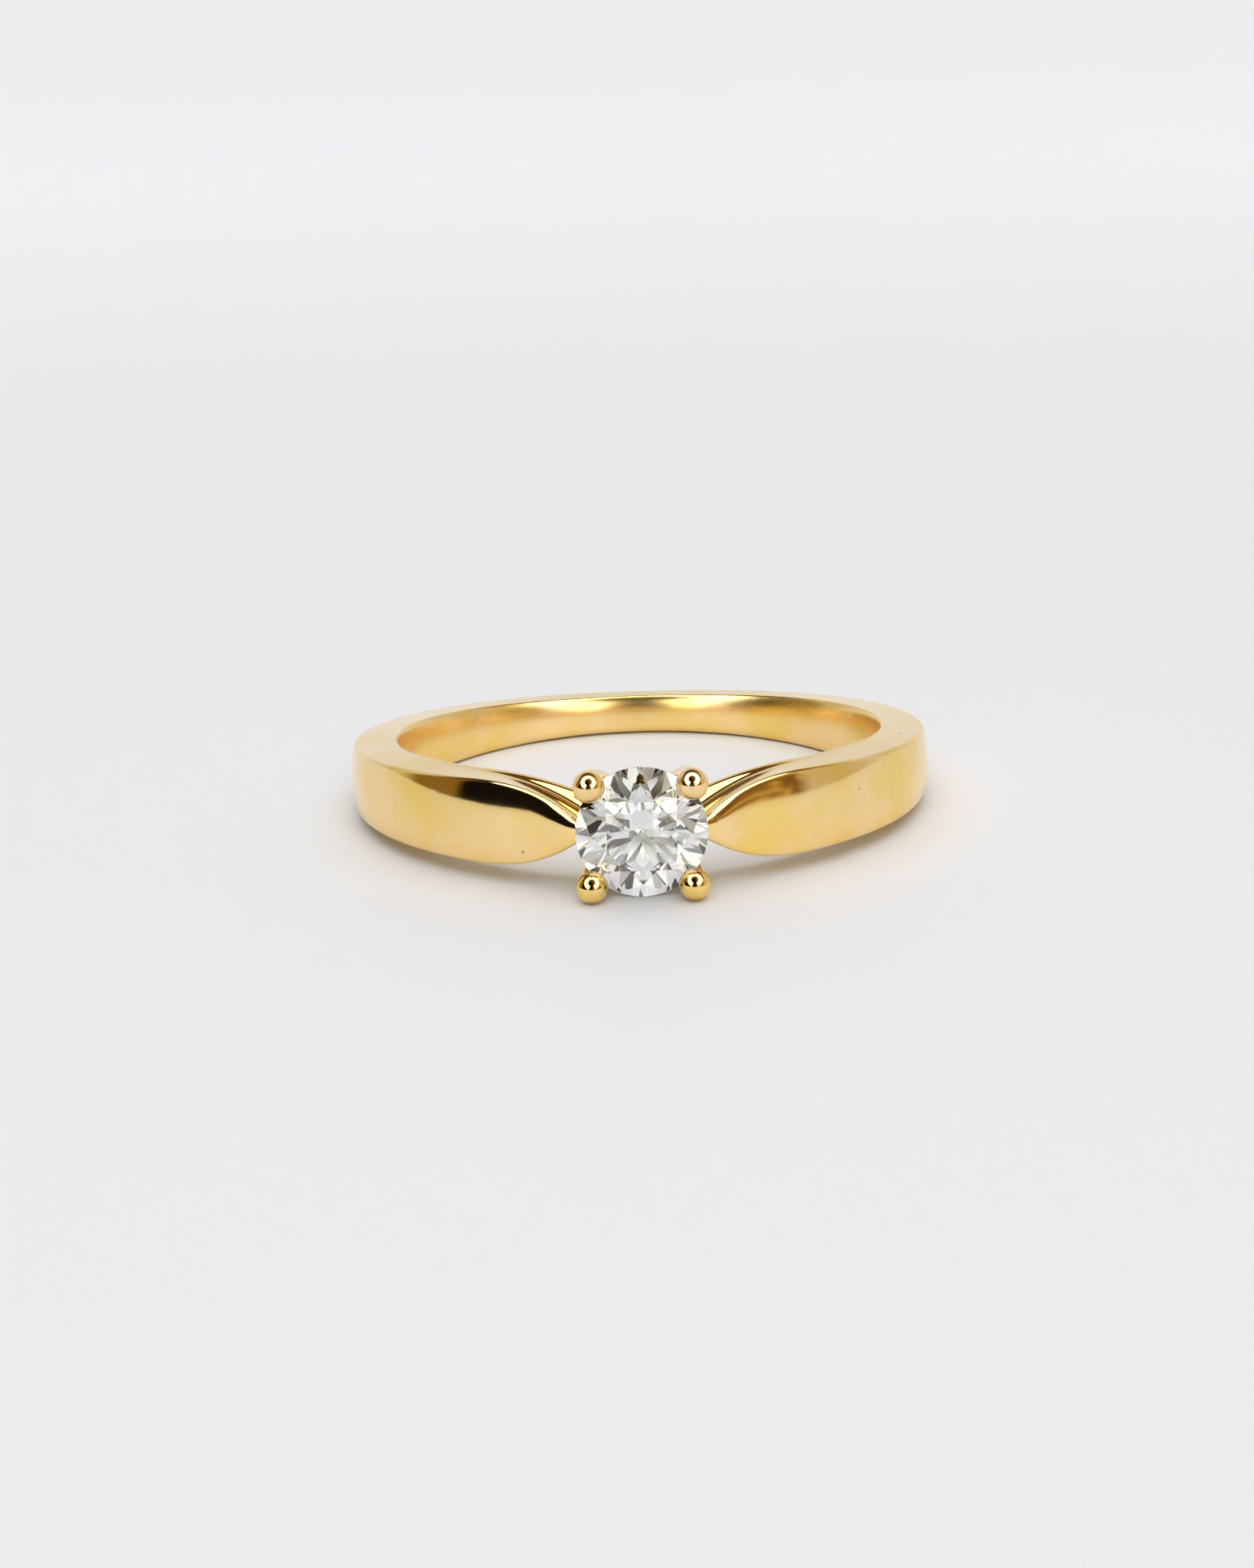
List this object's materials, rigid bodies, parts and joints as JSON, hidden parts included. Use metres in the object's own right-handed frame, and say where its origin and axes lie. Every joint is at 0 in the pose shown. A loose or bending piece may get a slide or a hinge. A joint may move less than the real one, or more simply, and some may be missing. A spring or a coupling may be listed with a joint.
{
  "type": "engagement ring",
  "caption": "Gold solitaire ring: round brilliant stone in four ball-tipped wire claws on a tapered band with shoulders pinched to a point.",
  "frame": {"origin": "centre of the finger hole, at the band's mid-width", "axes": "+Z along the finger hole's axis, -Y towards the stone, +X to the right when the stone faces the viewer"},
  "size_m": [0.0204, 0.0216, 0.0044],
  "materials": {
    "gold": "polished 18 carat yellow gold",
    "solder": "polished gold solder",
    "diamond": "polished colourless diamond"
  },
  "bodies": {
    "root": {"shank": "gold", "claw_top_left": "gold", "claw_top_right": "gold", "claw_bottom_left": "gold", "claw_bottom_right": "gold", "gallery_rail": "gold", "base_collar": "gold", "diamond": "diamond", "solder_shank_to_collar": "solder", "solder_shank_to_rail": "solder", "solder_claws_to_rail": "solder", "solder_claws_to_collar": "solder"}
  },
  "joints": []
}
